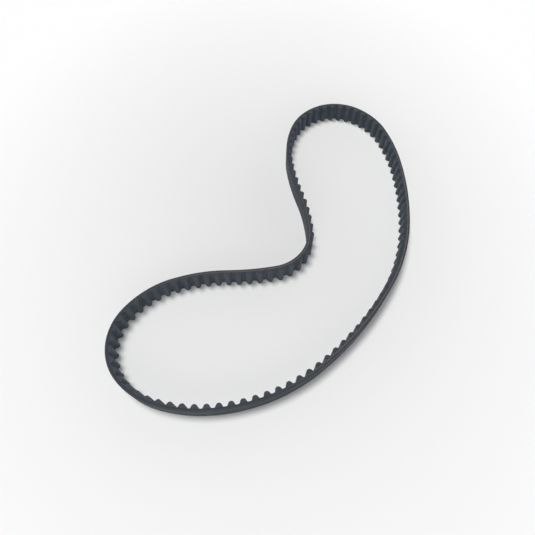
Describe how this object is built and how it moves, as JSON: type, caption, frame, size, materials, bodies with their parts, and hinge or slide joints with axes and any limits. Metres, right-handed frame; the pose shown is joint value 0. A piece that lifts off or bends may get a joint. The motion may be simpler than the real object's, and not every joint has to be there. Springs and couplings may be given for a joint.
{
  "type": "timing belt",
  "caption": "Endless rubber timing belt with rounded teeth inside and a smooth back, lying in a free kidney-shaped loop on its edge.",
  "frame": {"origin": "centre of the loop's outline, on the lower cut edge", "axes": "+Z across the belt's width, from the lower cut edge to the upper one; +Y along the loop's longest side"},
  "size_m": [0.2715, 0.3338, 0.0191],
  "materials": {
    "backing_rubber": "ground matt synthetic rubber",
    "tooth_rubber": "moulded rubber, cut on the edges",
    "cord_gum": "adhesion gum, seen as a thin brown line on the cut edges",
    "facing_fabric": "treated woven nylon, matt dark grey",
    "tensile_cord": "resin-dipped twisted glass-fibre cord"
  },
  "bodies": {
    "root": {"backing_rubber": "backing_rubber", "cord_gum": "cord_gum", "tooth_rubber": "tooth_rubber", "tooth_facing": "facing_fabric", "s_cord_turn_01": "tensile_cord", "z_cord_turn_02": "tensile_cord", "s_cord_turn_03": "tensile_cord", "z_cord_turn_04": "tensile_cord", "s_cord_turn_05": "tensile_cord", "z_cord_turn_06": "tensile_cord", "s_cord_turn_07": "tensile_cord", "z_cord_turn_08": "tensile_cord", "s_cord_turn_09": "tensile_cord", "z_cord_turn_10": "tensile_cord", "s_cord_turn_11": "tensile_cord", "z_cord_turn_12": "tensile_cord", "s_cord_turn_13": "tensile_cord", "z_cord_turn_14": "tensile_cord", "s_cord_turn_15": "tensile_cord", "z_cord_turn_16": "tensile_cord", "s_cord_turn_17": "tensile_cord", "z_cord_turn_18": "tensile_cord", "s_cord_turn_19": "tensile_cord", "z_cord_turn_20": "tensile_cord"}
  },
  "joints": []
}
